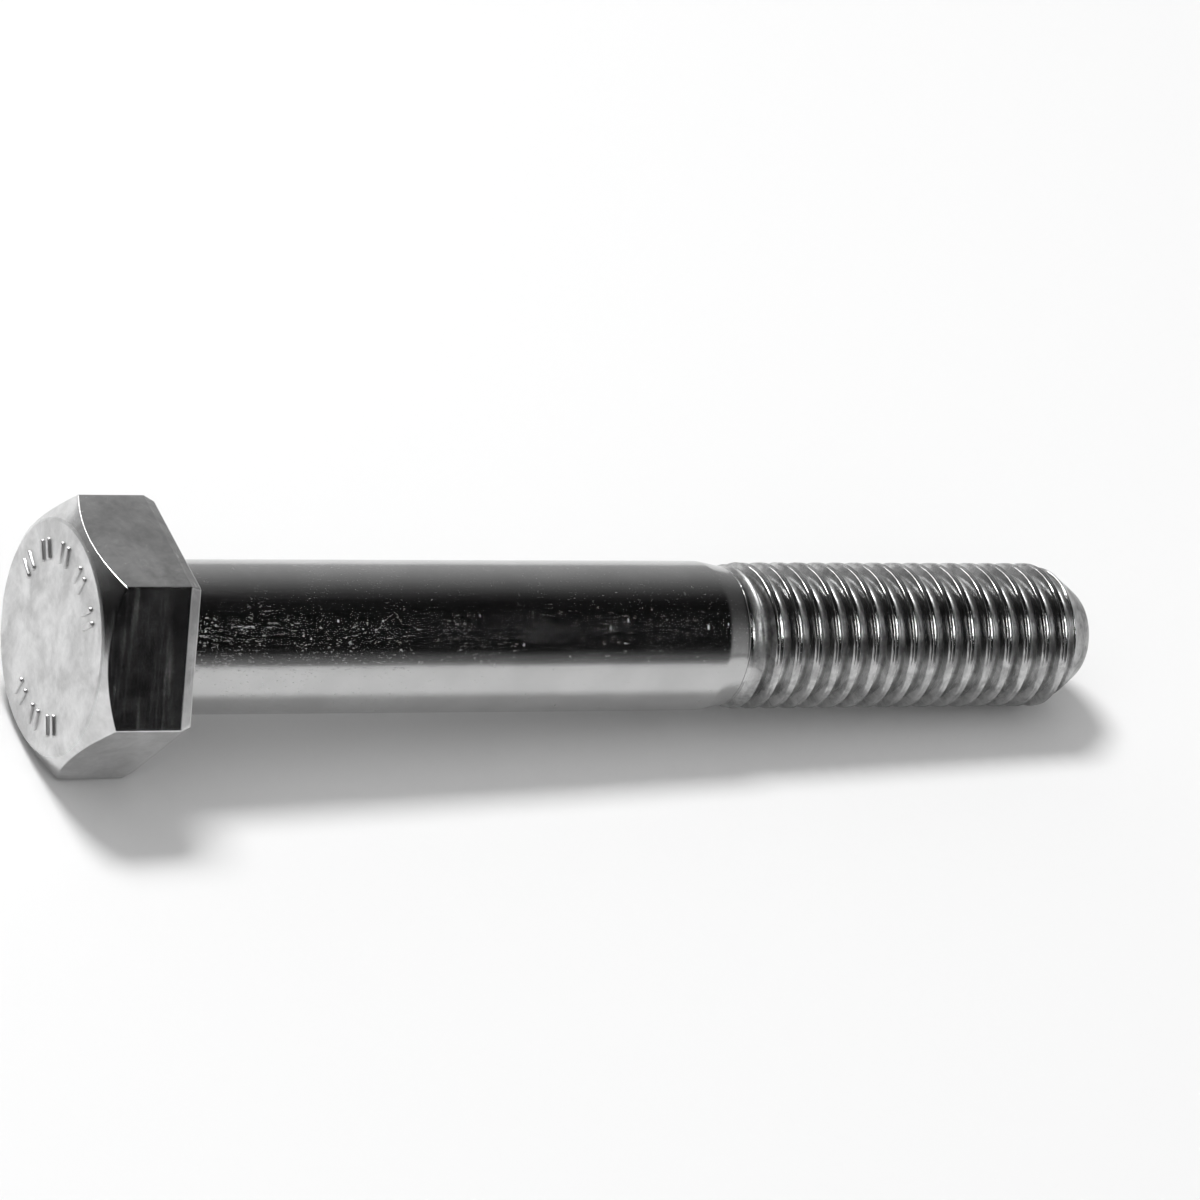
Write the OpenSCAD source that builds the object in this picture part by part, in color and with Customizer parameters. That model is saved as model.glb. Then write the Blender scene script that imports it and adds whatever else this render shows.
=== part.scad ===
// Hexagon head bolt, M10 x 70, partly threaded, right-hand coarse thread.
// The bolt's axis runs along X. X = 0 is the bearing face under the head: the head
// lies at negative X, and the shank and thread at positive X. Two of the hexagon's
// flats face straight up and down, so the bolt lies on one of them.
// A real bolt is one forging. Its three zones are separate solids that meet on
// plain round faces across the axis.

/* [Head] */
// Width across the hexagon's flats
across_flats = 15.9; // [15.7:0.05:16]
// Width across the hexagon's rounded corners
across_corners = 18.26; // [17.8:0.02:18.3]
// Height of the head, without its raised marks
head_height = 6.58; // [6.2:0.02:6.6]
// Diameter of the flat circle on the end of the head
end_circle_d = 14.9; // [14:0.1:15.4]
// Slope of the chamfer around the end circle, in degrees
chamfer_slope = 35; // [20:1:40]
// How far the bevel along the bearing face's six edges cuts into a flat's depth
bevel_depth = 0.35; // [0.2:0.05:0.5]
// How far the same bevel runs along the flat
bevel_length = 0.85; // [0.4:0.05:1]
// Radius of the fillet between the bearing face and the shank
fillet_r = 0.5; // [0.3:0.05:0.6]

/* [Raised marks] */
// Height that the marks stand above the end of the head
mark_height = 0.18; // [0.1:0.02:0.24]
// Width of one raised bar
bar_width = 0.45; // [0.3:0.05:0.6]
// Distance between the middles of a pair's two bars
pair_spacing = 0.9; // [0.7:0.05:1.2]
// Number of pairs of bars on the upper arc
upper_pairs = 5; // [2:1:6]
// Number of pairs of bars on the lower arc
lower_pairs = 3; // [1:1:4]

/* [Shank] */
// Diameter of the plain shank
shank_d = 9.95; // [9.8:0.05:10]
// Diameter of the neck that the thread is rolled on
neck_d = 9.3; // [9.1:0.02:9.5]
// Distance from the bearing face to the end of the full shank
shoulder_x = 40.6; // [38:0.2:41]
// Length of the shoulder between the shank and the neck
shoulder_length = 1.6; // [0.6:0.1:1.8]

/* [Thread] */
// Length from the bearing face to the tip
bolt_length = 70.2; // [69.2:0.1:70.8]
// Diameter over the thread's crests
crest_d = 9.85; // [9.75:0.05:9.95]
// Pitch of the thread
pitch = 1.5; // [1.5:0.05:1.6]
// Distance from the bearing face to the first whole crest, on the underside
first_crest_x = 43.55; // [43.5:0.05:44.2]
// Diameter of the flat at the tip
tip_d = 6; // [5.6:0.1:7.6]
// Length of the taper behind the tip
taper_length = 2.8; // [1.2:0.1:3]

/* [Hidden] */

sides = 6;
// Rounds of a shape that stays an exact cylinder or cone
smooth = 96;
embed = 0.3;
fillet_steps = 4;
margin = 5;

shank_r = shank_d / 2;
neck_r = neck_d / 2;
corner_r = across_corners / 2;
end_circle_r = end_circle_d / 2;
chamfer_depth = (corner_r - end_circle_r) * tan(chamfer_slope);

// The marks: where each arc lies, in degrees round from straight up towards +Y, the step
// from one pair of bars to the next, the circle they stand on and the bars' length
upper_middle = 18;
upper_step = 28;
lower_middle = 194;
lower_step = 26;
mark_circle_r = 5.6;
bar_length = 1.5;

// The thread starts just past the shoulder and grows to its full form over this length
neck_length = 0.1;
thread_x = shoulder_x + shoulder_length + neck_length;
fade_length = 1.4;
// One pitch of the thread, as [share of the pitch, depth below the crest]: the crest's
// flat is an eighth of the pitch, the flanks stand at 60 degrees and the root is round
thread_depth = 0.6134 * pitch;
flank_foot = 0.37;
foot_depth = (flank_foot - 1 / 16) * pitch * sqrt(3);
FORM = [
    [1 / 16, 0],
    [flank_foot, foot_depth],
    [1 / 2, thread_depth],
    [1 - flank_foot, foot_depth],
    [15 / 16, 0]
];
rows_per_turn = len(FORM);
columns = 48;
turns_before = ceil((first_crest_x - thread_x) / pitch) + 2;
rows = rows_per_turn * (ceil((bolt_length - first_crest_x) / pitch) + turns_before + 2);

// Turns the Z axis of a drawn shape to lie along X
module along_x() {
    rotate([0, 90, 0]) children();
}

// A turned solid whose outline gives [radius, distance along the axis]
module turned(outline) {
    rotate_extrude($fn = smooth) polygon(outline);
}

// The outside that a lathe would leave on the head: end circle, chamfer and corners
module head_envelope() {
    turned([
        [0, -head_height],
        [end_circle_r, -head_height],
        [corner_r, -head_height + chamfer_depth],
        [corner_r, 0],
        [0, 0]
    ]);
}

// A block that planes the bevel off one edge of the bearing face
module bevel_cutter() {
    translate([across_flats / 2 - bevel_depth / 2, 0, -bevel_length / 2])
        rotate([0, -atan2(bevel_depth, bevel_length), 0])
            translate([0, -across_flats / 2, -margin])
                cube([margin, across_flats, 2 * margin]);
}

module hexagon_prism() {
    translate([0, 0, -head_height])
        linear_extrude(head_height)
            rotate(180 / sides)
                circle(r = across_flats / 2 / cos(180 / sides), $fn = sides);
}

// The fillet's ring, with the short stub of shank that it surrounds. Its curve is a
// quarter round in a few cones, which meet the bearing face at a clear angle
module fillet_ring() {
    quarter = [
        for (i = [0:fillet_steps])
            let (turn = 270 - i * 90 / fillet_steps)
            [shank_r + fillet_r * (1 + cos(turn)), fillet_r * (1 + sin(turn))]
    ];
    turned(concat([[0, -embed], [shank_r + fillet_r, -embed]], quarter, [[0, fillet_r]]));
}

// A mark stands on the end face, turned from straight up towards +Y by this angle
module on_mark_circle(turn) {
    rotate(180 - turn)
        translate([mark_circle_r, 0, -head_height - mark_height])
            children();
}

module raised_pair() {
    for (side = [-1, 1])
        translate([-bar_length / 2, side * pair_spacing / 2 - bar_width / 2, 0])
            cube([bar_length, bar_width, mark_height + embed]);
}

// Pairs of bars along one arc of the mark circle
module raised_arc(middle, step, pairs) {
    for (i = [0:pairs - 1])
        on_mark_circle(middle + (i - (pairs - 1) / 2) * step) raised_pair();
}

module raised_marks() {
    raised_arc(upper_middle, upper_step, upper_pairs);
    raised_arc(lower_middle, lower_step, lower_pairs);
}

module hex_head() {
    color("silver")
        along_x() {
            difference() {
                intersection() {
                    hexagon_prism();
                    head_envelope();
                }
                for (i = [0:sides - 1]) rotate(i * 360 / sides) bevel_cutter();
            }
            fillet_ring();
            raised_marks();
        }
}

module plain_shank() {
    color("gainsboro")
        along_x()
            turned([
                [0, fillet_r],
                [shank_r, fillet_r],
                [shank_r, shoulder_x],
                [neck_r, shoulder_x + shoulder_length],
                [neck_r, thread_x],
                [0, thread_x]
            ]);
}

// Distance along the axis of a row of the thread's surface, at a column's angle
function row_x(row, column) =
    first_crest_x + pitch * (floor(row / rows_per_turn) - turns_before
    + FORM[row % rows_per_turn][0] + column / columns);

// The first and the last row at a column: they lie on the thread's two end faces
function first_row(column) =
    max([for (row = [0:rows]) if (row_x(row, column) <= thread_x) row]);
function last_row(column) =
    min([for (row = [0:rows]) if (row_x(row, column) >= bolt_length) row]);

// The radius starts as the neck's, grows into the thread's form, and ends in a taper
function grown(x) = min(1, max(0, (x - thread_x) / fade_length));
function radius_at(x, depth) =
    min(neck_r + grown(x) * (crest_d / 2 - depth - neck_r),
        tip_d / 2 + (crest_d - tip_d) / 2 * (bolt_length - x) / taper_length);

function thread_point(row, column) =
    let (
        x = min(bolt_length, max(thread_x, row_x(row, column))),
        r = radius_at(x, FORM[row % rows_per_turn][1]),
        angle = 360 * column / columns
    )
    [r * cos(angle), r * sin(angle), x];

// The thread's skin is one long strip of rows that climb like the crest does, so
// after a whole turn a row runs on as the row one turn further along
module threaded_end() {
    first_rows = [for (c = [0:columns - 1]) first_row(c)];
    last_rows = [for (c = [0:columns - 1]) last_row(c)];
    function held(row, c) = min(last_rows[c], max(first_rows[c], row));
    function index(row, c) = c < columns
        ? held(row, c) * columns + c
        : held(row + rows_per_turn, 0) * columns;
    function whole(t) = t[0] != t[1] && t[1] != t[2] && t[2] != t[0];
    triangles = [
        for (row = [0:rows - 1], c = [0:columns - 1])
            let (
                a = index(row, c),
                b = index(row + 1, c),
                d = index(row, c + 1),
                e = index(row + 1, c + 1)
            )
            each [[a, b, e], [a, e, d]]
    ];
    start_face = [for (c = [0:columns - 1]) first_rows[c] * columns + c];
    end_face = [for (c = [columns - 1:-1:0]) last_rows[c] * columns + c];
    points = [for (row = [0:rows], c = [0:columns - 1]) thread_point(row, c)];
    color("darkgray")
        along_x()
            polyhedron(points, concat([for (t = triangles) if (whole(t)) t], [start_face, end_face]));
}

hex_head();
plain_shank();
threaded_end();
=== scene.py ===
import math

import bpy
import numpy as np
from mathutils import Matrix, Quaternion, Vector


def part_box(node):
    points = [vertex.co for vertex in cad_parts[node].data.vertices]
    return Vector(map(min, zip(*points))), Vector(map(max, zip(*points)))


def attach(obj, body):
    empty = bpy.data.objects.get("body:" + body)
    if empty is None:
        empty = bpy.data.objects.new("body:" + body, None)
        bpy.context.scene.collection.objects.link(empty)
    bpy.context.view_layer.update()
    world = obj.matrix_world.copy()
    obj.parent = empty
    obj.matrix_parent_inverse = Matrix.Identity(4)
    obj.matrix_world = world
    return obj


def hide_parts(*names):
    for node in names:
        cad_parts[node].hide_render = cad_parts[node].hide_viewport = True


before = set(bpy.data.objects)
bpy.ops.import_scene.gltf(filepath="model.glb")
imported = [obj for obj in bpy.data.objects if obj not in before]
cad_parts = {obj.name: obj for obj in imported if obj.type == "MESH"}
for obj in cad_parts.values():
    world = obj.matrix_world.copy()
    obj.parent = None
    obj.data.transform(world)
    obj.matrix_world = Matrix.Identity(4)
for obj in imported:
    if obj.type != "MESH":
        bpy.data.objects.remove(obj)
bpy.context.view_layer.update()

bl_info = {
    "name": "Hex Bolt",
    "version": (1, 0, 0),
    "blender": (4, 5, 0),
    "location": "3D View > Sidebar > Hex Bolt",
    "description": "Builds the finished surfaces of a hexagon head bolt around its frame",
    "category": "Object",
}

MM = 0.001
BODY = "root"
SIDES = 6
HALF_SIDE = math.pi / SIDES
BACKDROP = 0.95                           # brightness of the plain backdrop
KEY_PLACE = (-0.065, 0.135, 0.30)         # where the near lamp hangs, above and behind
KEY_RADIUS = 0.05
SKY_FROM = (-0.2, -0.45, 0.87)            # where the middle of the wide soft light is
SKY_WIDTH = math.radians(100)

HEAD_LOW, HEAD_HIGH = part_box("hex_head")
SHANK_LOW, SHANK_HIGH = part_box("plain_shank")
THREAD_LOW, THREAD_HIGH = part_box("threaded_end")


def length(name, description, default):
    """A length property whose default is given in millimetres."""
    return bpy.props.FloatProperty(
        name=name, description=description, default=default * MM, min=0.0,
        precision=5, subtype="DISTANCE", unit="LENGTH")


def share(name, description, default):
    """A number from 0 to 1."""
    return bpy.props.FloatProperty(
        name=name, description=description, default=default, min=0.0, max=1.0, subtype="FACTOR")


def turn(name, description, default):
    """An angle property whose default is given in degrees."""
    return bpy.props.FloatProperty(
        name=name, description=description, default=math.radians(default),
        subtype="ANGLE", unit="ROTATION")


def grey(name, description, default):
    """A colour property whose default is a neutral grey."""
    return bpy.props.FloatVectorProperty(
        name=name, description=description, default=(default, default, default),
        min=0.0, max=1.0, size=3, subtype="COLOR")


# ---------------------------------------------------------------- settings

class HeadSettings(bpy.types.PropertyGroup):
    across_flats: length("Across flats", "Distance between opposite flats",
                         (HEAD_HIGH.z - HEAD_LOW.z) / MM)
    mark_height: length("Mark height", "Height of the raised marks over the end of the head", 0.18)
    end_circle: length("End circle", "Diameter of the flat circle on the end of the head", 14.9)
    chamfer: turn("Chamfer", "Slope of the chamfer around the end circle", 35)
    bevel_depth: length("Bevel depth", "How far the bevel cuts into a flat's depth", 0.35)
    bevel_length: length("Bevel length", "How far the bevel runs along a flat", 0.85)
    fillet: length("Fillet", "Radius of the fillet between the head and the shank",
                   SHANK_LOW.x / MM)
    edge_round: length("Edge rounding", "Radius of the rounded edge between chamfer and flats",
                       0.16)
    corner_round: length("Corner rounding", "Radius of the six edges between the flats", 0.14)


class MarkSettings(bpy.types.PropertyGroup):
    circle: length("Mark circle", "Radius of the circle on which the marks lie", 5.6)
    width: length("Bar width", "Width of one raised bar", 0.45)
    bar: length("Bar length", "Length of one raised bar", 1.5)
    spacing: length("Pair spacing", "Distance between the middles of a pair's two bars", 0.9)
    upper_middle: turn("Upper middle", "Turn from straight up to the upper arc's middle", 18)
    upper_step: turn("Upper step", "Turn between two pairs of the upper arc", 28)
    lower_middle: turn("Lower middle", "Turn from straight up to the lower arc's middle", 194)
    lower_step: turn("Lower step", "Turn between two pairs of the lower arc", 26)
    upper_pairs: bpy.props.IntProperty(name="Upper pairs", default=5, min=2, max=6,
                                       description="Number of pairs of bars on the upper arc")
    lower_pairs: bpy.props.IntProperty(name="Lower pairs", default=3, min=1, max=4,
                                       description="Number of pairs of bars on the lower arc")


class ShankSettings(bpy.types.PropertyGroup):
    diameter: length("Shank diameter", "Diameter of the plain shank",
                     (SHANK_HIGH.z - SHANK_LOW.z) / MM)
    neck: length("Neck diameter", "Diameter of the neck before the thread", 9.3)
    shoulder: length("Shoulder start", "Distance from the bearing face to the shoulder", 40.6)
    shoulder_length: length("Shoulder length", "Length of the shoulder between shank and neck", 1.6)
    waviness: length("Waviness", "Height of the slow waves in the drawn surface", 0.003)


class ThreadSettings(bpy.types.PropertyGroup):
    crest: length("Crest diameter", "Diameter over the thread's crests",
                  (THREAD_HIGH.z - THREAD_LOW.z) / MM)
    pitch: length("Pitch", "Distance from one crest to the next", 1.5)
    first_crest: length("First crest", "Distance from the bearing face to the first whole crest,"
                        " on the underside", 43.55)
    depth: length("Depth", "Depth of the thread's root below its crest", 0.82)
    seam: length("Seam depth", "Depth of the rolling seam in the middle of the crest", 0.08)
    fade: length("Fade", "Length over which the thread grows out of the neck", 1.4)
    tip: length("Tip diameter", "Diameter of the flat at the tip", 6.0)
    taper: length("Taper length", "Length of the taper behind the tip", 2.8)


class SteelSettings(bpy.types.PropertyGroup):
    head_colour: grey("Head colour", "Colour of the forged head", 0.66)
    shank_colour: grey("Shank colour", "Colour of the polished shank", 0.5)
    thread_colour: grey("Thread colour", "Colour of the rolled thread", 0.5)
    end_roughness: share("End roughness", "Roughness of the satin end of the head", 0.42)
    flat_roughness: share("Flat roughness", "Roughness of the six flats", 0.14)
    shank_roughness: share("Shank roughness", "Roughness of the polished shank", 0.15)
    thread_roughness: share("Thread roughness", "Roughness of the rolled thread", 0.15)


class StageSettings(bpy.types.PropertyGroup):
    floor_colour: grey("Floor colour", "Colour of the floor", 0.86)
    floor_size: length("Floor size", "Width of the floor", 6000)
    floor_front: length("Floor front", "How far the bright floor reaches in front of the bolt", 85)
    lens: length("Lens", "Focal length of the camera's lens", 214.0)
    distance: length("Camera distance", "Distance from the camera to its aim", 468.8)
    aim_along: length("Aim along", "Distance from the bearing face to the aim, along the bolt",
                      32.32)
    aim_up: length("Aim up", "Height of the aim over the bolt's axis", 3.08)
    azimuth: turn("Azimuth", "Turn of the camera round the bolt", -36.6)
    elevation: turn("Elevation", "Height of the camera over the bolt", 33.9)
    roll: turn("Roll", "Turn of the camera about its own line of sight", 22.5)
    key: bpy.props.FloatProperty(name="Key light", default=28.5, min=0.0,
                                 description="Strength of the light from above and behind")
    overhead: bpy.props.FloatProperty(name="Overhead strip", default=5.0, min=0.0,
                                      description="Brightness of the long lamp overhead")
    front: bpy.props.FloatProperty(name="Front strip", default=20.0, min=0.0,
                                   description="Brightness of the short lamp in front")
    sky: bpy.props.FloatProperty(name="Sky light", default=1.5, min=0.0,
                                 description="Strength of the wide soft light on the floor")


# ---------------------------------------------------------------- shapes

def along(x, radius, angle):
    """Points at a distance x along the bolt, at a radius and at an angle that runs from the
    camera's side (-Y) over the top (+Z): (x, -r cos a, r sin a)."""
    x, radius, angle = np.broadcast_arrays(x, radius, angle)
    return np.stack([x, -radius * np.cos(angle), radius * np.sin(angle)], axis=-1)


def closed_rings(name, rings, first_pole, last_pole, flat_ends):
    """A closed mesh from rings of points, one ring per row, with a fan to a pole at each end.
    Faces follow the rings' order; fans may be flat so that the rim beside them stays crisp."""
    rows, columns = rings.shape[:2]
    points = np.concatenate([rings.reshape(-1, 3), [first_pole, last_pole]])
    index = np.arange(rows * columns).reshape(rows, columns)
    after = np.roll(index, -1, axis=1)
    quads = np.stack([index[:-1], index[1:], after[1:], after[:-1]], axis=-1).reshape(-1, 4)
    start, end = rows * columns, rows * columns + 1
    first_fan = np.stack([np.full(columns, start), index[0], after[0]], axis=-1)
    last_fan = np.stack([np.full(columns, end), after[-1], index[-1]], axis=-1)
    corners = np.concatenate([quads.ravel(), first_fan.ravel(), last_fan.ravel()])
    sizes = np.concatenate([np.full(len(quads), 4), np.full(2 * columns, 3)])
    smooth = np.ones(len(sizes), bool)
    smooth[len(quads):len(quads) + columns] = not flat_ends[0]
    smooth[len(quads) + columns:] = not flat_ends[1]
    return mesh_object(name, points, corners, sizes, smooth)


def mesh_object(name, points, corners, sizes, smooth):
    """Puts arrays of points, face corners and face sizes into a mesh, with outward faces."""
    starts = np.concatenate([[0], np.cumsum(sizes)[:-1]])
    mesh = bpy.data.meshes.new(name)
    mesh.vertices.add(len(points))
    mesh.vertices.foreach_set("co", points.astype(np.float32).ravel())
    mesh.loops.add(len(corners))
    mesh.loops.foreach_set("vertex_index", corners.astype(np.int32))
    mesh.polygons.add(len(sizes))
    mesh.polygons.foreach_set("loop_start", starts.astype(np.int32))
    mesh.polygons.foreach_set("use_smooth", smooth)
    mesh.update(calc_edges=True)
    if mesh.validate():
        raise RuntimeError(f"the mesh of {name} had faults")
    if signed_volume(points, corners, starts, sizes) < 0:
        mesh.flip_normals()
    piece = bpy.data.objects.new(name, mesh)
    bpy.context.scene.collection.objects.link(piece)
    return piece


def signed_volume(points, corners, starts, sizes):
    """Sum of the pyramids from the origin to each face, cut into a fan of triangles:
    positive when the faces point outwards."""
    total = 0.0
    for step in range(int(sizes.max()) - 2):
        has = sizes > step + 2
        a = points[corners[starts[has]]]
        b = points[corners[starts[has] + step + 1]]
        c = points[corners[starts[has] + step + 2]]
        total += np.einsum("ij,ij->", a, np.cross(b, c))
    return total


def spaced(count, crowding=2.0):
    """Shares from 0 to 1 that crowd towards both ends: half of 1 + tanh over a symmetric span."""
    u = np.linspace(-1, 1, count)
    return 0.5 + 0.5 * np.tanh(crowding * u) / math.tanh(crowding)


def rounded_outline(corners, radii, counts, steps=5):
    """Rows of points along an outline with rounded corners. Each corner is replaced by a
    parabola that touches both legs at the distance radius / tan(half the corner's angle);
    the straight stretches between are sampled more closely towards their ends."""
    corners = np.asarray(corners, float)
    enter, leave = [], []
    for before, corner, after, radius in zip(corners, corners[1:], corners[2:], radii):
        back, ahead = before - corner, after - corner
        back_size = np.linalg.norm(back, axis=-1, keepdims=True)
        ahead_size = np.linalg.norm(ahead, axis=-1, keepdims=True)
        cosine = np.sum(back * ahead, axis=-1, keepdims=True) / (back_size * ahead_size)
        half_tangent = np.sqrt((1 - cosine) / (1 + cosine))
        reach = np.minimum(radius / half_tangent, 0.48 * np.minimum(back_size, ahead_size))
        enter.append(corner + back / back_size * reach)
        leave.append(corner + ahead / ahead_size * reach)
    starts = [corners[0]] + leave
    ends = enter + [corners[-1]]
    rows = []
    for i, (start, end, count) in enumerate(zip(starts, ends, counts)):
        for t in spaced(count):
            rows.append(start + (end - start) * t)
        if i < len(enter):
            for t in np.linspace(0, 1, steps + 2)[1:-1]:
                rows.append((1 - t) ** 2 * enter[i] + 2 * t * (1 - t) * corners[i + 1]
                            + t ** 2 * leave[i])
    return np.array(rows)


def soft_min(a, b, blend):
    """The smaller of two values, with the kink rounded over the blend width."""
    return (a + b - np.sqrt((a - b) ** 2 + blend ** 2)) / 2


def slow_waves(x, angle, seed):
    """A gentle unevenness between about -1 and 1: a sum of four sine waves in the distance
    along the bolt (waves of 5 to 23 mm) and in whole turns of the angle."""
    rng = np.random.default_rng(seed)
    total = 0
    for wave, turns in ((23, 1), (13, 2), (8, 3), (5, 5)):
        phase = rng.uniform(0, 2 * math.pi, 2)
        total = total + (np.sin(2 * math.pi * x / (wave * MM) + phase[0])
                         * np.cos(turns * angle + phase[1]))
    return total / 4


def hexagon_columns(apothem, rounding):
    """Polar angles and radii around a hexagon with rounded corners. A flat is the apothem
    times its normal plus a step sideways; a corner is an arc about a point at
    (apothem - rounding) / cos 30."""
    inner = apothem - rounding
    sideways = (2 * spaced(15, 1.6) - 1)[:-1] * inner * math.tan(HALF_SIDE)
    arc = np.linspace(-HALF_SIDE, HALF_SIDE, 7)[:-1]
    flat_angle, flat_radius = np.arctan2(sideways, apothem), np.hypot(sideways, apothem)
    corner_x = inner / math.cos(HALF_SIDE) + rounding * np.cos(arc)
    corner_y = rounding * np.sin(arc)
    corner_angle, corner_radius = np.arctan2(corner_y, corner_x), np.hypot(corner_x, corner_y)
    angles, radii = [], []
    for side in range(SIDES):
        normal = HALF_SIDE + side * 2 * HALF_SIDE
        angles += [flat_angle + normal, corner_angle + normal + HALF_SIDE]
        radii += [flat_radius, corner_radius]
    return np.concatenate(angles), np.concatenate(radii)


def head_surface(head, shank_radius):
    """The head as a lathe outline that changes with the angle: end circle, chamfer rising by
    (r - circle) * tan(slope) up to the hexagon, flat, bevel, bearing face and fillet, each
    corner rounded."""
    apothem = head.across_flats / 2
    angle, radius = hexagon_columns(apothem, head.corner_round)
    end = HEAD_LOW.x + head.mark_height
    circle = head.end_circle / 2
    off_normal = (angle % (2 * HALF_SIDE)) - HALF_SIDE
    inset = apothem - radius * np.cos(off_normal)
    nought = np.zeros_like(radius)
    stations = [
        (end + nought, nought + 0.02 * MM),
        (end + nought, circle + nought),
        (end + (radius - circle) * math.tan(head.chamfer), radius),
        (head.bevel_length * (inset / head.bevel_depth - 1), radius),
        (nought, radius * (apothem - head.bevel_depth) / apothem),
        (nought, shank_radius + head.fillet + nought),
    ]
    corners = [np.stack(s, axis=-1) for s in stations]
    # In order: the end circle, the chamfer's edge, the bevel's edge, the bearing face's rim
    radii = [0.12 * MM, head.edge_round, 0.3 * MM, 0.12 * MM]
    outline = rounded_outline(corners, radii, counts=[14, 5, 16, 6, 8])
    quarter = np.linspace(0, math.pi / 2, 7)[1:, None]
    fillet = np.stack([head.fillet * (1 - np.cos(quarter)) + nought,
                       shank_radius + head.fillet * (1 - np.sin(quarter)) + nought], axis=-1)
    outline = np.concatenate([outline, fillet])
    x, r = outline[..., 0], outline[..., 1]
    # The forged faces are a little uneven; the waves die out at the centre of the end face
    swell = slow_waves(x, angle, 7) * 0.008 * MM * np.clip(r / circle, 0, 1) ** 2
    on_bearing = np.clip(1 + x / (0.5 * MM), 0, 1)
    points = along(x, r + swell * (1 - on_bearing), angle)
    return closed_rings("hex_head_steel", points, (end, 0, 0), (head.fillet, 0, 0), (False, True))


def pill_rings(half_length, radius, height):
    """One raised bar as rings: a stadium outline shrunk towards its middle, and a height of
    h * (1 - s^5)^0.5 over the share s from the middle to the rim, then a wall below the face."""
    columns = 28
    phi = np.linspace(-math.pi, math.pi, columns, endpoint=False) + math.pi / columns
    shift = np.where(np.cos(phi) > 0, half_length, -half_length)
    level = np.array([0.25, 0.5, 0.66, 0.78, 0.87, 0.94, 0.98, 1.0])
    rise = height * np.sqrt(1 - level ** 5)
    level = np.append(level, [1.03, 1.03])
    rise = np.append(rise, [-0.02 * MM, -0.25 * MM])
    a = shift[None] + level[:, None] * radius * np.cos(phi)[None]
    b = level[:, None] * radius * np.sin(phi)[None]
    return a, b, rise[:, None] + 0 * a


def marks_surface(head, marks):
    """All raised marks in one mesh: pairs of bars that point at the centre, on two arcs."""
    end = HEAD_LOW.x + head.mark_height
    half = marks.width / 2
    upper = marks.upper_middle + marks.upper_step * (
        np.arange(marks.upper_pairs) - (marks.upper_pairs - 1) / 2)
    lower = marks.lower_middle + marks.lower_step * (
        np.arange(marks.lower_pairs) - (marks.lower_pairs - 1) / 2)
    a, b, rise = pill_rings(marks.bar / 2 - half, half, head.mark_height)
    rows, columns = a.shape
    index = np.arange(rows * columns).reshape(rows, columns)
    after = np.roll(index, -1, axis=1)
    quads = np.stack([index[:-1], index[1:], after[1:], after[:-1]], axis=-1)
    one = np.concatenate([quads.ravel(), index[0], index[-1][::-1]])
    points, corners, sizes = [], [], []
    for turned in np.concatenate([upper, lower]):
        for side in (-0.5, 0.5):
            radial, sideways = marks.circle + a, b + side * marks.spacing
            up = radial * math.cos(turned) - sideways * math.sin(turned)
            left = radial * math.sin(turned) + sideways * math.cos(turned)
            corners.append(one + len(points) * rows * columns)
            points.append(np.stack([end - rise, left, up], axis=-1).reshape(-1, 3))
            sizes += [4] * (quads.size // 4) + [columns, columns]
    sizes = np.array(sizes)
    return mesh_object("head_marks_steel", np.concatenate(points), np.concatenate(corners),
                       sizes, np.ones(len(sizes), bool))


def shank_surface(shank, thread_start):
    """The shank as a lathe surface: a straight cylinder, then a conical shoulder down to the
    neck, both its ends eased, all with slow waves of a few thousandths of a millimetre."""
    radius, neck = shank.diameter / 2, shank.neck / 2
    start = SHANK_LOW.x
    ease = 0.25 * MM
    straight = start + (shank.shoulder - ease - start) * spaced(70, 0.8)
    shoulder = np.linspace(shank.shoulder - ease, thread_start, 26)[1:]
    x = np.concatenate([straight, shoulder])[:, None]
    gone = (x - shank.shoulder) / shank.shoulder_length
    softness = ease / shank.shoulder_length / 2
    gone = np.clip((np.sqrt(gone ** 2 + softness ** 2)
                    - np.sqrt((gone - 1) ** 2 + softness ** 2) + 1) / 2, 0, 1)
    r = neck + (radius - neck) * (1 - gone)
    angle = np.linspace(0, 2 * math.pi, 192, endpoint=False)[None]
    r = r + (slow_waves(x, angle, 3) - 1) * shank.waviness * (1 - gone)
    points = along(x, r, angle)
    return closed_rings("plain_shank_steel", points, (start, 0, 0), (thread_start, 0, 0),
                        (True, True))


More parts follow.
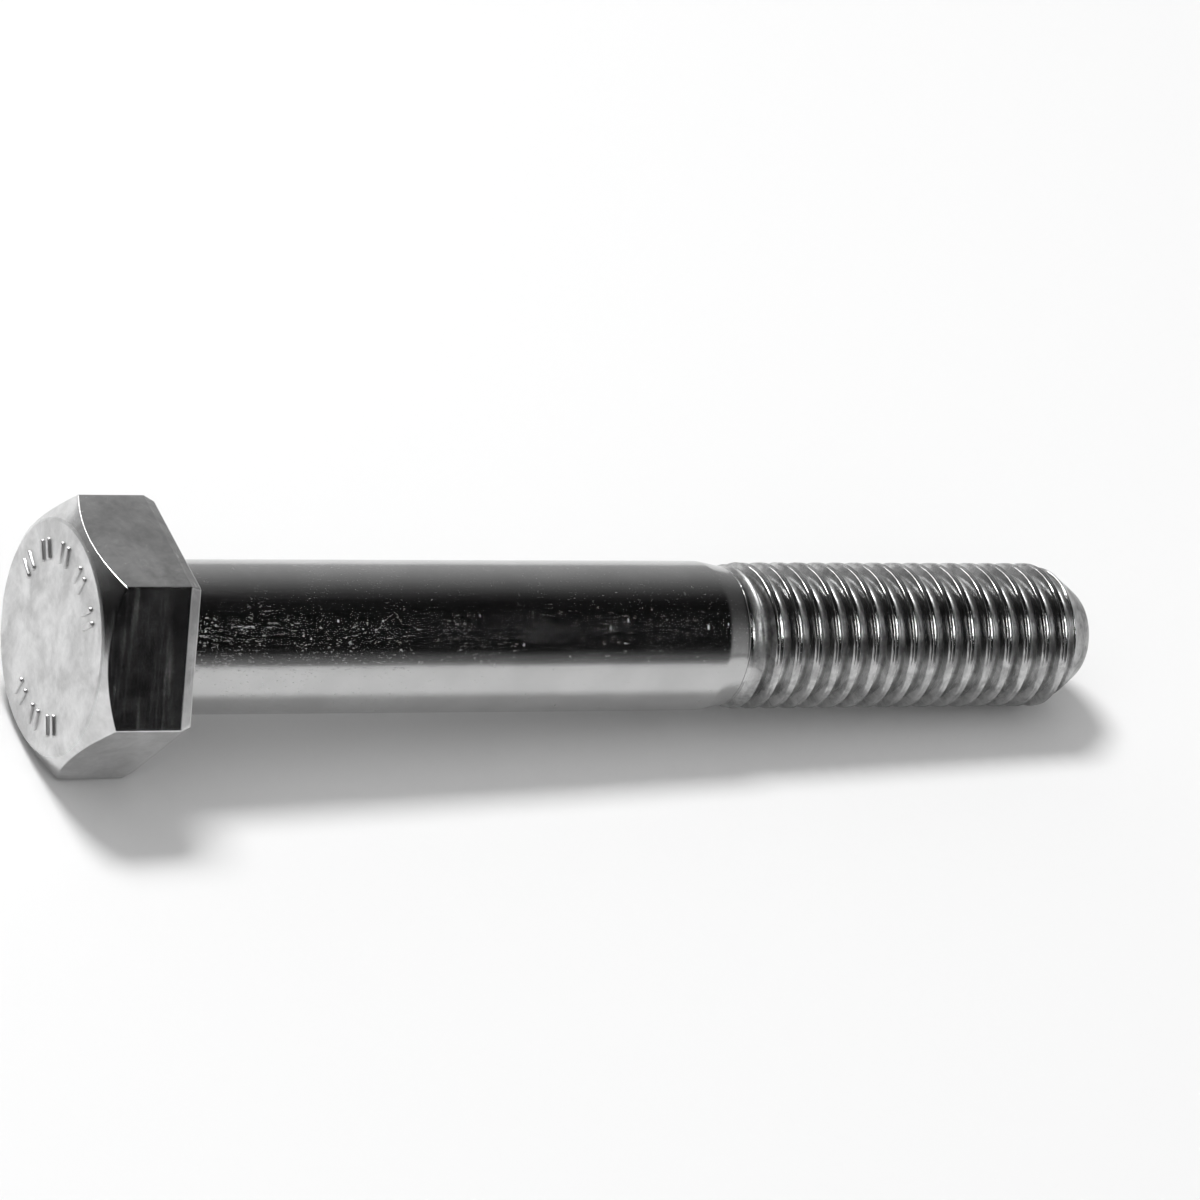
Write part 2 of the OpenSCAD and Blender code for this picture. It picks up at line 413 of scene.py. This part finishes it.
def thread_radius(thread, neck, x, phase, turns):
    """Radius of the thread's skin. Over one pitch the depth is a rounded ramp from the crest's
    flat down the flank to the root, and the seam is depth * exp(-(distance / half width)^4) at
    the crest's middle. The thread grows out of the neck by 3 t^2 - 2 t^3 over the fade length,
    and the tip is the soft smaller value of thread and taper."""
    from_crest = np.abs((phase + 0.5) % 1 - 0.5)
    # The crest is broad, and its seam wide, on the first turns, where the rolls had not
    # yet filled it
    young = np.minimum(np.exp(-2.2 * (turns + 0.4)), 1.5)
    crest_share, root_share, softness = 0.125 + 0.13 * young, 0.43, 0.08
    ramp = (from_crest - crest_share) / (root_share - crest_share)
    down = (np.sqrt(ramp ** 2 + softness ** 2) - np.sqrt((ramp - 1) ** 2 + softness ** 2) + 1) / 2
    grown = np.clip((x - THREAD_LOW.x) / thread.fade, 0, 1)
    grown = grown * grown * (3 - 2 * grown)
    seam_half = 0.09 + 0.11 * young
    seam = (thread.seam + 0.12 * MM * young) * np.exp(-(from_crest / seam_half) ** 4)
    crumble = (np.sin(2 * math.pi * turns * 23.17) * np.sin(2 * math.pi * turns * 9.41 + 1)
               + np.sin(2 * math.pi * turns * 37.7 + 2)) / 2
    # The lips beside the seam crumble, most on the first turns
    lip = np.exp(-((from_crest - seam_half - 0.05) / 0.05) ** 2) * crumble * 0.012 * MM
    lip = lip * (1 + 1.5 * young)
    lip_room = 0.015 * MM
    full = thread.crest / 2 - down * thread.depth - seam + lip - lip_room
    body = neck + grown * (full - neck)
    # The taper runs out to the tip, whose rim is rounded off
    tip, rim, blend = thread.tip / 2, 0.1 * MM, 0.08 * MM
    left = np.clip((THREAD_HIGH.x - x) / thread.taper, 0, 2)
    limit = tip + (thread.crest / 2 - tip) * left - rim * np.exp(-left / 0.06)
    return soft_min(body, limit, blend)


def thread_surface(thread, neck):
    """The thread as one strip of rows that climb with the crest: a point's distance along the
    bolt is its row's place in the pitch plus the pitch times its share of a turn. Rows that
    would pass an end face are held on it."""
    columns, per_turn = 200, 20
    start, end = THREAD_LOW.x, THREAD_HIGH.x
    before = math.ceil((thread.first_crest - start) / thread.pitch) + 2
    after = math.ceil((end - thread.first_crest) / thread.pitch) + 2
    row = np.arange((before + after) * per_turn + 1)[:, None]
    column = np.arange(columns)[None]
    turned = column / columns
    turns = row / per_turn - before + turned
    x = thread.first_crest + thread.pitch * turns
    first = (x <= start).sum(axis=0) - 1
    last = len(row) - (x >= end).sum(axis=0)
    x = np.clip(x, start, end)
    r = thread_radius(thread, neck, x, (row % per_turn) / per_turn + 0 * turned, turns)
    # Turned right-handed about +X, from straight down: the crest climbs towards the tip
    angle = -math.pi / 2 - 2 * math.pi * turned
    points = along(x, r, angle).reshape(-1, 3)

    def index(rows, cols):
        """Point numbers, with rows held between a column's first and last, and with the
        column after the last one joined to column 0 a turn further along."""
        wrapped = cols == columns
        rows = np.where(wrapped, rows + per_turn, rows)
        cols = np.where(wrapped, 0, cols)
        return np.clip(rows, first[cols], last[cols]) * columns + cols

    rows, cols = np.meshgrid(row[:-1, 0], column[0], indexing="ij")
    a, b = index(rows, cols), index(rows + 1, cols)
    d, c = index(rows, cols + 1), index(rows + 1, cols + 1)
    halves = np.concatenate([np.stack([a, b, c], -1).reshape(-1, 3),
                             np.stack([a, c, d], -1).reshape(-1, 3)])
    whole = ((halves[:, 0] != halves[:, 1]) & (halves[:, 1] != halves[:, 2])
             & (halves[:, 2] != halves[:, 0]))
    halves = halves[whole]
    rim_start = first * columns + column[0]
    rim_end = last * columns + column[0]
    poles = len(points) + np.arange(2)
    points = np.concatenate([points, [(start, 0, 0), (end, 0, 0)]])
    fans = np.concatenate([
        np.stack([np.full(columns, poles[0]), rim_start, np.roll(rim_start, -1)], -1),
        np.stack([np.full(columns, poles[1]), np.roll(rim_end, -1), rim_end], -1)])
    faces = np.concatenate([halves, fans])
    used, faces = np.unique(faces, return_inverse=True)
    faces = faces.reshape(-1, 3)
    smooth = np.arange(len(faces)) < len(halves)
    return mesh_object("threaded_end_steel", points[used], faces.ravel(),
                       np.full(len(faces), 3), smooth)


# ---------------------------------------------------------------- materials

class Nodes:
    """Short words for making and linking shader nodes in one tree."""

    def __init__(self, tree):
        self.tree = tree

    def add(self, kind, settings=None, **inputs):
        made = self.tree.nodes.new(kind)
        for key, value in (settings or {}).items():
            setattr(made, key, value)
        for key, value in inputs.items():
            self.feed(made.inputs[key.replace("_", " ")], value)
        return made

    def feed(self, socket, value):
        if isinstance(value, bpy.types.NodeSocket):
            self.tree.links.new(value, socket)
        else:
            socket.default_value = value

    def place(self, scale):
        """Object coordinates in millimetres, times a scale per axis."""
        coordinates = self.add("ShaderNodeTexCoord").outputs["Object"]
        return self.add("ShaderNodeMapping", Vector=coordinates,
                        Scale=[s / MM for s in scale]).outputs["Vector"]

    def noise(self, scale, detail=3.0, roughness=0.55, distortion=0.0):
        """Noise whose features are about one over the scale in millimetres, per axis."""
        return self.add("ShaderNodeTexNoise", Vector=self.place(scale), Scale=1.0,
                        Detail=detail, Roughness=roughness,
                        Distortion=distortion).outputs["Fac"]

    def cells(self, scale):
        """Distance to the nearest of scattered points, with the scale per axis as in noise."""
        return self.add("ShaderNodeTexVoronoi", Vector=self.place(scale),
                        Scale=1.0).outputs["Distance"]

    def span(self, value, low, high, to_low=0.0, to_high=1.0):
        """Maps low..high onto to_low..to_high, eased and clamped."""
        made = self.add("ShaderNodeMapRange", {"interpolation_type": "SMOOTHSTEP"})
        for socket, given in zip(made.inputs, (value, low, high, to_low, to_high)):
            self.feed(socket, given)
        return made.outputs["Result"]

    def math(self, operation, a, b=0.0):
        made = self.add("ShaderNodeMath", {"operation": operation})
        self.feed(made.inputs[0], a)
        self.feed(made.inputs[1], b)
        return made.outputs[0]

    def along_x(self):
        coordinates = self.add("ShaderNodeTexCoord").outputs["Object"]
        return self.add("ShaderNodeSeparateXYZ", Vector=coordinates).outputs["X"]

    def from_axis(self):
        """Distance from the bolt's axis."""
        coordinates = self.add("ShaderNodeTexCoord").outputs["Object"]
        split = self.add("ShaderNodeSeparateXYZ", Vector=coordinates)
        squares = [self.math("MULTIPLY", split.outputs[axis], split.outputs[axis])
                   for axis in "YZ"]
        return self.math("SQRT", self.math("ADD", *squares))

    def tinted(self, amount, colour):
        """A colour times a number that varies over the surface."""
        made = self.add("ShaderNodeMix", {"data_type": "RGBA", "blend_type": "MULTIPLY"})
        made.inputs["Factor"].default_value = 1.0
        combined = self.add("ShaderNodeCombineColor", Red=amount, Green=amount, Blue=amount)
        self.feed(made.inputs["A"], (*colour, 1.0))
        self.feed(made.inputs["B"], combined.outputs[0])
        return made.outputs["Result"]


def steel(name, paint):
    """A metal material. paint(nodes) returns its colour, its roughness, the height of its
    surface, and the millimetres that a height of 1 stands for."""
    material = bpy.data.materials.new(name)
    material.use_nodes = True
    nodes = Nodes(material.node_tree)
    shader = material.node_tree.nodes["Principled BSDF"]
    shader.inputs["Metallic"].default_value = 1.0
    colour, roughness, height, depth = paint(nodes)
    bump = nodes.add("ShaderNodeBump", Strength=1.0, Distance=depth * MM, Height=height)
    nodes.feed(shader.inputs["Base Color"], colour)
    nodes.feed(shader.inputs["Roughness"], roughness)
    nodes.feed(shader.inputs["Normal"], bump.outputs["Normal"])
    return material


def forged_steel(settings, head):
    """Satin on the end and its chamfer, smoother and streaked across on the flats."""
    def paint(n):
        end = HEAD_LOW.x + head.mark_height
        on_end = n.span(n.along_x(), end + 0.02 * MM, end + 0.2 * MM, 1.0, 0.0)
        stain = n.noise((0.35, 0.35, 0.35), 5, 0.6, 0.4)
        grain = n.noise((2.2, 2.2, 2.2), 4, 0.6)
        streak = n.noise((2.2, 0.12, 0.12), 4, 0.65)
        nick = n.span(n.cells((0.9, 0.35, 0.35)), 0.05, 0.09, 1.0, 0.0)
        tone = n.math("ADD", n.span(stain, 0.3, 0.7, 0.8, 1.1),
                      n.span(grain, 0.3, 0.7, -0.05, 0.05))
        rough_end = n.span(stain, 0.3, 0.7, settings.end_roughness + 0.06,
                           settings.end_roughness - 0.06)
        rough_flat = n.math("ADD", n.span(stain, 0.3, 0.7, settings.flat_roughness,
                                          settings.flat_roughness + 0.05),
                            n.span(streak, 0.5, 0.7, 0.0, 0.09))
        mixed = n.add("ShaderNodeMix", {"data_type": "FLOAT"})
        n.feed(mixed.inputs["Factor"], on_end)
        n.feed(mixed.inputs["A"], rough_flat)
        n.feed(mixed.inputs["B"], rough_end)
        ridges = n.math("MULTIPLY", streak, n.span(on_end, 0.0, 1.0, 0.5, 0.08))
        height = n.math("ADD", ridges, n.math("MULTIPLY", grain, 0.5))
        height = n.math("SUBTRACT", height, n.math("MULTIPLY", nick, 0.8))
        return n.tinted(tone, settings.head_colour), mixed.outputs["Result"], height, 0.004
    return steel("forged_steel", paint)


def polished_steel(settings):
    """Bright, with faint lines along the shank, and scuffs and nicks that crowd by the head."""
    def paint(n):
        near_head = n.span(n.along_x(), 2 * MM, 26 * MM, 1.0, 0.0)
        lines = n.noise((0.25, 5.0, 5.0), 3, 0.6)
        patch = n.noise((0.3, 0.3, 0.3), 3, 0.5)
        dashes = n.noise((2.4, 7.0, 7.0), 4, 0.75)
        limit = n.math("SUBTRACT", 0.605, n.math("MULTIPLY", near_head, 0.05))
        scuff = n.span(dashes, limit, n.math("ADD", limit, 0.1))
        scuff = n.math("MULTIPLY", scuff, n.span(patch, 0.36, 0.56, 0.3, 0.8))
        nick = n.span(n.cells((1.3, 0.55, 0.55)), 0.06, 0.12, 1.0, 0.0)
        nick = n.math("MULTIPLY", nick, n.span(n.noise((0.7, 0.7, 0.7), 2), 0.5, 0.6))
        marks = n.math("MAXIMUM", scuff, nick)
        tone = n.span(patch, 0.3, 0.7, 0.94, 1.04)
        rough = n.math("ADD", n.span(lines, 0.3, 0.7, settings.shank_roughness,
                                     settings.shank_roughness + 0.05),
                       n.math("MULTIPLY", marks, 0.2))
        height = n.math("ADD", n.math("MULTIPLY", lines, 0.25), n.math("MULTIPLY", marks, 0.5))
        return n.tinted(tone, settings.shank_colour), rough, height, 0.005
    return steel("polished_steel", paint)


def rolled_steel(settings):
    """Bright and smooth on the crests' lips. Rougher and darker in the roots, on the first ridge
    and on the taper: the darker colour is painted shade in the roots and on the taper, and duller
    steel on the first ridge.
    """
    def paint(n):
        x = n.along_x()
        rolled = n.span(x, THREAD_LOW.x, THREAD_LOW.x + 1.2 * MM)
        blotch = n.noise((0.8, 0.8, 0.8), 4, 0.65, 0.5)
        grain = n.noise((5.0, 5.0, 5.0), 3, 0.6)
        # Towards the roots the steel is rougher, and darker with painted shade
        root = n.span(n.from_axis(), THREAD_HIGH.z - 0.68 * MM, THREAD_HIGH.z - 0.42 * MM, 1.0, 0.0)
        # The first turn was only half rolled, and the taper was never rolled at all, so both are
        # rougher. The darker colour in the roots and on the taper is painted shade; on the first
        # ridge it is the duller, half-rolled steel.
        ragged = n.math("MULTIPLY", n.span(x, THREAD_LOW.x + 0.1 * MM, THREAD_LOW.x + 0.4 * MM),
                        n.span(x, THREAD_LOW.x + 1.1 * MM, THREAD_LOW.x + 1.5 * MM, 1.0, 0.0))
        taper = n.span(x, THREAD_HIGH.x - 1.9 * MM, THREAD_HIGH.x - 1.3 * MM)
        painted_shade_and_dull = n.math("MULTIPLY", n.math("MAXIMUM", root, n.math("MAXIMUM", ragged, taper)), rolled)
        tone = n.math("ADD", n.span(blotch, 0.35, 0.65, 0.68, 1.1),
                      n.span(grain, 0.3, 0.7, -0.06, 0.06))
        # Painted shade: darker in the roots and on the taper, and still darker on the taper; duller
        # steel on the first ridge
        tone = n.math("SUBTRACT", tone, n.math("MULTIPLY", painted_shade_and_dull, 0.18))
        tone = n.math("SUBTRACT", tone, n.math("MULTIPLY", taper, 0.17))
        rough = n.math("ADD", n.span(blotch, 0.35, 0.65, settings.thread_roughness + 0.07,
                                     settings.thread_roughness),
                       n.math("MULTIPLY", painted_shade_and_dull, 0.17))
        rough = n.math("ADD", rough, n.math("MULTIPLY", ragged, 0.15))
        height = n.math("ADD", n.math("MULTIPLY", blotch, 0.6),
                        n.math("MULTIPLY", grain, n.span(ragged, 0.0, 1.0, 0.4, 3.0)))
        return n.tinted(tone, settings.thread_colour), rough, height, 0.005
    return steel("rolled_steel", paint)


# ---------------------------------------------------------------- operators

def finish_piece(piece, material, node):
    """Gives a piece its material and its body, and hides the frame node it stands for."""
    piece.data.materials.append(material)
    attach(piece, BODY)
    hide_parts(node)


def bolt_settings(context):
    return context.scene.hex_bolt


class HEXBOLT_OT_head(bpy.types.Operator):
    """Make the head: hexagon, chamfer, bevels and fillet"""
    bl_idname = "hexbolt.head"
    bl_label = "Make Head"

    def execute(self, context):
        bolt = bolt_settings(context)
        piece = head_surface(bolt.head, bolt.shank.diameter / 2)
        finish_piece(piece, forged_steel(bolt.steel, bolt.head), "hex_head")
        return {"FINISHED"}


class HEXBOLT_OT_marks(bpy.types.Operator):
    """Make the raised marks, which share the finished head's steel"""
    bl_idname = "hexbolt.marks"
    bl_label = "Make Marks"

    def execute(self, context):
        bolt = bolt_settings(context)
        head_steel = bpy.data.objects["hex_head_steel"].active_material
        piece = marks_surface(bolt.head, bolt.marks)
        finish_piece(piece, head_steel, "hex_head")
        return {"FINISHED"}


class HEXBOLT_OT_shank(bpy.types.Operator):
    """Make the plain shank with its shoulder and neck"""
    bl_idname = "hexbolt.shank"
    bl_label = "Make Shank"

    def execute(self, context):
        bolt = bolt_settings(context)
        piece = shank_surface(bolt.shank, THREAD_LOW.x)
        finish_piece(piece, polished_steel(bolt.steel), "plain_shank")
        return {"FINISHED"}


class HEXBOLT_OT_thread(bpy.types.Operator):
    """Make the rolled thread with its rounded nose"""
    bl_idname = "hexbolt.thread"
    bl_label = "Make Thread"

    def execute(self, context):
        bolt = bolt_settings(context)
        piece = thread_surface(bolt.thread, bolt.shank.neck / 2)
        finish_piece(piece, rolled_steel(bolt.steel), "threaded_end")
        return {"FINISHED"}


def resting_floor(bolt):
    """A point on the floor and its slope along the bolt: the bolt lies on the lower edge of
    its bearing face and on the last whole crest."""
    low, thread_low = HEAD_LOW.z, THREAD_LOW.z
    edge = -bolt.head.bevel_length
    last_crest = THREAD_HIGH.x - bolt.thread.taper
    slope = (thread_low - low) / (last_crest - edge)
    return Vector((edge, 0, low)), math.atan(slope)


def pale_board(stage):
    """The floor's material. Painted shade: what the metal mirrors of it is darkened beyond a line
    not far in front of the bolt. Far from the bolt, the camera sees it fade into the backdrop."""
    material = bpy.data.materials.new("floor")
    material.use_nodes = True
    shader = material.node_tree.nodes["Principled BSDF"]
    n = Nodes(material.node_tree)
    across = n.add("ShaderNodeSeparateXYZ",
                   Vector=n.add("ShaderNodeTexCoord").outputs["Object"]).outputs["Y"]
    # Painted shade seen only in the metal: beyond the line the floor is darker for glossy rays
    edge, edge_width, dimming = -stage.floor_front, 3 * MM, 0.82
    floor_painted_shade = n.math("MULTIPLY", n.span(across, edge, edge - edge_width, 0.0, dimming),
                 n.add("ShaderNodeLightPath").outputs["Is Glossy Ray"])
    tone = n.math("SUBTRACT", 1.0, floor_painted_shade)
    n.feed(shader.inputs["Base Color"], n.tinted(tone, stage.floor_colour))
    shader.inputs["Roughness"].default_value = 0.6
    shader.inputs["Specular IOR Level"].default_value = 0.2
    away = n.add("ShaderNodeVectorMath", {"operation": "LENGTH"},
                 Vector=n.add("ShaderNodeTexCoord").outputs["Object"]).outputs["Value"]
    fade_from, fade_to = 150 * MM, 600 * MM
    faded = n.math("MULTIPLY", n.span(away, fade_from, fade_to),
                   n.add("ShaderNodeLightPath").outputs["Is Camera Ray"])
    mixed = n.add("ShaderNodeMixShader", Fac=faded)
    n.feed(mixed.inputs[1], shader.outputs[0])
    n.feed(mixed.inputs[2], n.add("ShaderNodeEmission", Strength=BACKDROP).outputs[0])
    n.feed(material.node_tree.nodes["Material Output"].inputs["Surface"], mixed.outputs[0])
    return material


def make_floor(bolt):
    """A wide floor, tilted along the bolt so that it touches where the bolt rests."""
    point, slope = resting_floor(bolt)
    half = bolt.stage.floor_size / 2
    run = Vector((math.cos(slope), 0, math.sin(slope)))
    side = Vector((0, 1, 0))
    corners = [point + run * a * half + side * b
               for a, b in ((-1, -half), (1, -half), (1, half), (-1, half))]
    mesh = bpy.data.meshes.new("floor")
    mesh.from_pydata([tuple(c) for c in corners], [], [(0, 1, 2, 3)])
    floor = bpy.data.objects.new("floor", mesh)
    bpy.context.scene.collection.objects.link(floor)
    mesh.materials.append(pale_board(bolt.stage))


def make_key_lamp(strength):
    """A round lamp near the bolt. Its light doesn't weaken with distance, so the floor stays
    even, while its shadows spread as a near lamp's do."""
    light = bpy.data.lights.new("key_lamp", "POINT")
    light.energy = strength
    light.shadow_soft_size = KEY_RADIUS
    light.use_nodes = True
    n = Nodes(light.node_tree)
    falloff = n.add("ShaderNodeLightFalloff", Strength=1.0)
    n.feed(light.node_tree.nodes["Emission"].inputs["Strength"], falloff.outputs["Constant"])
    lamp = bpy.data.objects.new("key_lamp", light)
    lamp.location = KEY_PLACE
    lamp.visible_camera = False
    bpy.context.scene.collection.objects.link(lamp)


def make_sky_light(strength):
    """A very wide soft light from overhead that falls on the floor but isn't seen in the metal."""
    light = bpy.data.lights.new("sky_light", "SUN")
    light.energy = strength
    light.angle = SKY_WIDTH
    lamp = bpy.data.objects.new("sky_light", light)
    lamp.visible_glossy = False
    lamp.rotation_mode = "QUATERNION"
    lamp.rotation_quaternion = Vector(SKY_FROM).to_track_quat("Z", "Y")
    bpy.context.scene.collection.objects.link(lamp)


def lit_patch(n, brightness, *edges):
    """A lamp in the surroundings as a patch of directions. Each of its soft edges is one part
    of the direction, its value where the lamp is still dark, and where it is fully lit."""
    lit = 1.0
    for part, dark, full in edges:
        lit = n.math("MULTIPLY", lit, n.span(part, dark, full))
    return n.math("MULTIPLY", lit, brightness)


def make_surroundings(stage):
    """A dim studio: dark overhead, a low glow in front, brighter towards the back and to the
    right, with two narrow lamps that only the metal mirrors, a long one overhead and a short
    one in front, and a plain pale backdrop for the camera itself."""
    world = bpy.data.worlds.new("studio")
    bpy.context.scene.world = world
    world.use_nodes = True
    n = Nodes(world.node_tree)
    background = world.node_tree.nodes["Background"]
    direction = n.add("ShaderNodeTexCoord").outputs["Generated"]
    split = n.add("ShaderNodeSeparateXYZ", Vector=direction)
    x, y, z = split.outputs["X"], split.outputs["Y"], split.outputs["Z"]
    back = n.math("MULTIPLY", n.math("POWER", n.math("MAXIMUM", y, 0.0), 2.0), 0.62)
    front = n.math("MULTIPLY", n.span(y, 0.0, -0.3), n.span(z, 0.03, 0.3, 0.17, 0.0))
    right = n.math("MULTIPLY", n.span(x, 0.6, 0.85), n.span(z, 0.3, 0.7, 0.36, 0.04))
    right = n.math("MULTIPLY", right, n.span(y, 0.1, 0.5, 1.0, 0.0))
    glow = n.math("ADD", n.math("ADD", back, front), n.math("ADD", right, 0.005))
    path = n.add("ShaderNodeLightPath")
    overhead = lit_patch(n, stage.overhead, (x, -0.36, -0.28), (x, -0.02, -0.1),
                         (y, 0.3, 0.45), (z, 0.25, 0.4))
    front_lamp = lit_patch(n, stage.front, (x, 0.04, 0.07), (x, 0.15, 0.12),
                           (y, -0.2, -0.3), (z, 0.55, 0.66), (z, 0.92, 0.84))
    lamps = n.math("MULTIPLY", n.math("ADD", overhead, front_lamp), path.outputs["Is Glossy Ray"])
    glow = n.math("ADD", glow, lamps)
    mixed = n.add("ShaderNodeMix", {"data_type": "FLOAT"})
    n.feed(mixed.inputs["Factor"], path.outputs["Is Camera Ray"])
    n.feed(mixed.inputs["A"], glow)
    n.feed(mixed.inputs["B"], BACKDROP)
    n.feed(background.inputs["Strength"], mixed.outputs["Result"])
    background.inputs["Color"].default_value = (1, 1, 1, 1)


def make_camera(stage):
    """A long lens aimed at the bolt from an azimuth and an elevation, rolled about its line."""
    azimuth, elevation = stage.azimuth, stage.elevation
    back = Vector((math.sin(azimuth) * math.cos(elevation),
                   -math.cos(azimuth) * math.cos(elevation), math.sin(elevation)))
    camera = bpy.data.cameras.new("camera")
    camera.lens = stage.lens / MM
    camera.sensor_width = 36
    camera.clip_start, camera.clip_end = 0.01, 20
    holder = bpy.data.objects.new("camera", camera)
    holder.rotation_mode = "QUATERNION"
    holder.rotation_quaternion = ((-back).to_track_quat("-Z", "Y")
                                  @ Quaternion((0, 0, 1), stage.roll))
    holder.location = Vector((stage.aim_along, 0, stage.aim_up)) + back * stage.distance
    bpy.context.scene.collection.objects.link(holder)
    bpy.context.scene.camera = holder


class HEXBOLT_OT_stage(bpy.types.Operator):
    """Make the floor, the lights, the surroundings and the camera"""
    bl_idname = "hexbolt.stage"
    bl_label = "Make Stage"

    def execute(self, context):
        bolt = bolt_settings(context)
        make_floor(bolt)
        make_key_lamp(bolt.stage.key)
        make_sky_light(bolt.stage.sky)
        make_surroundings(bolt.stage)
        make_camera(bolt.stage)
        context.scene.view_settings.view_transform = "Standard"
        return {"FINISHED"}


class HexBoltSettings(bpy.types.PropertyGroup):
    head: bpy.props.PointerProperty(type=HeadSettings, name="Head")
    marks: bpy.props.PointerProperty(type=MarkSettings, name="Marks")
    shank: bpy.props.PointerProperty(type=ShankSettings, name="Shank")
    thread: bpy.props.PointerProperty(type=ThreadSettings, name="Thread")
    steel: bpy.props.PointerProperty(type=SteelSettings, name="Steel")
    stage: bpy.props.PointerProperty(type=StageSettings, name="Stage")


class HEXBOLT_PT_sidebar(bpy.types.Panel):
    """Lists the steps that build the bolt"""
    bl_idname = "HEXBOLT_PT_sidebar"
    bl_label = "Hex Bolt"
    bl_space_type = "VIEW_3D"
    bl_region_type = "UI"
    bl_category = "Hex Bolt"

    def draw(self, context):
        for step in STEPS:
            self.layout.operator(step.bl_idname, text=step.bl_label)


STEPS = (HEXBOLT_OT_head, HEXBOLT_OT_marks, HEXBOLT_OT_shank, HEXBOLT_OT_thread,
         HEXBOLT_OT_stage)
CLASSES = (HeadSettings, MarkSettings, ShankSettings, ThreadSettings, SteelSettings,
           StageSettings, HexBoltSettings, *STEPS, HEXBOLT_PT_sidebar)


def register():
    for item in CLASSES:
        bpy.utils.register_class(item)
    bpy.types.Scene.hex_bolt = bpy.props.PointerProperty(type=HexBoltSettings)


def unregister():
    del bpy.types.Scene.hex_bolt
    for item in reversed(CLASSES):
        bpy.utils.unregister_class(item)


def main():
    register()
    bpy.ops.hexbolt.head()
    bpy.ops.hexbolt.marks()
    bpy.ops.hexbolt.shank()
    bpy.ops.hexbolt.thread()
    bpy.ops.hexbolt.stage()


if __name__ == "__main__":
    main()
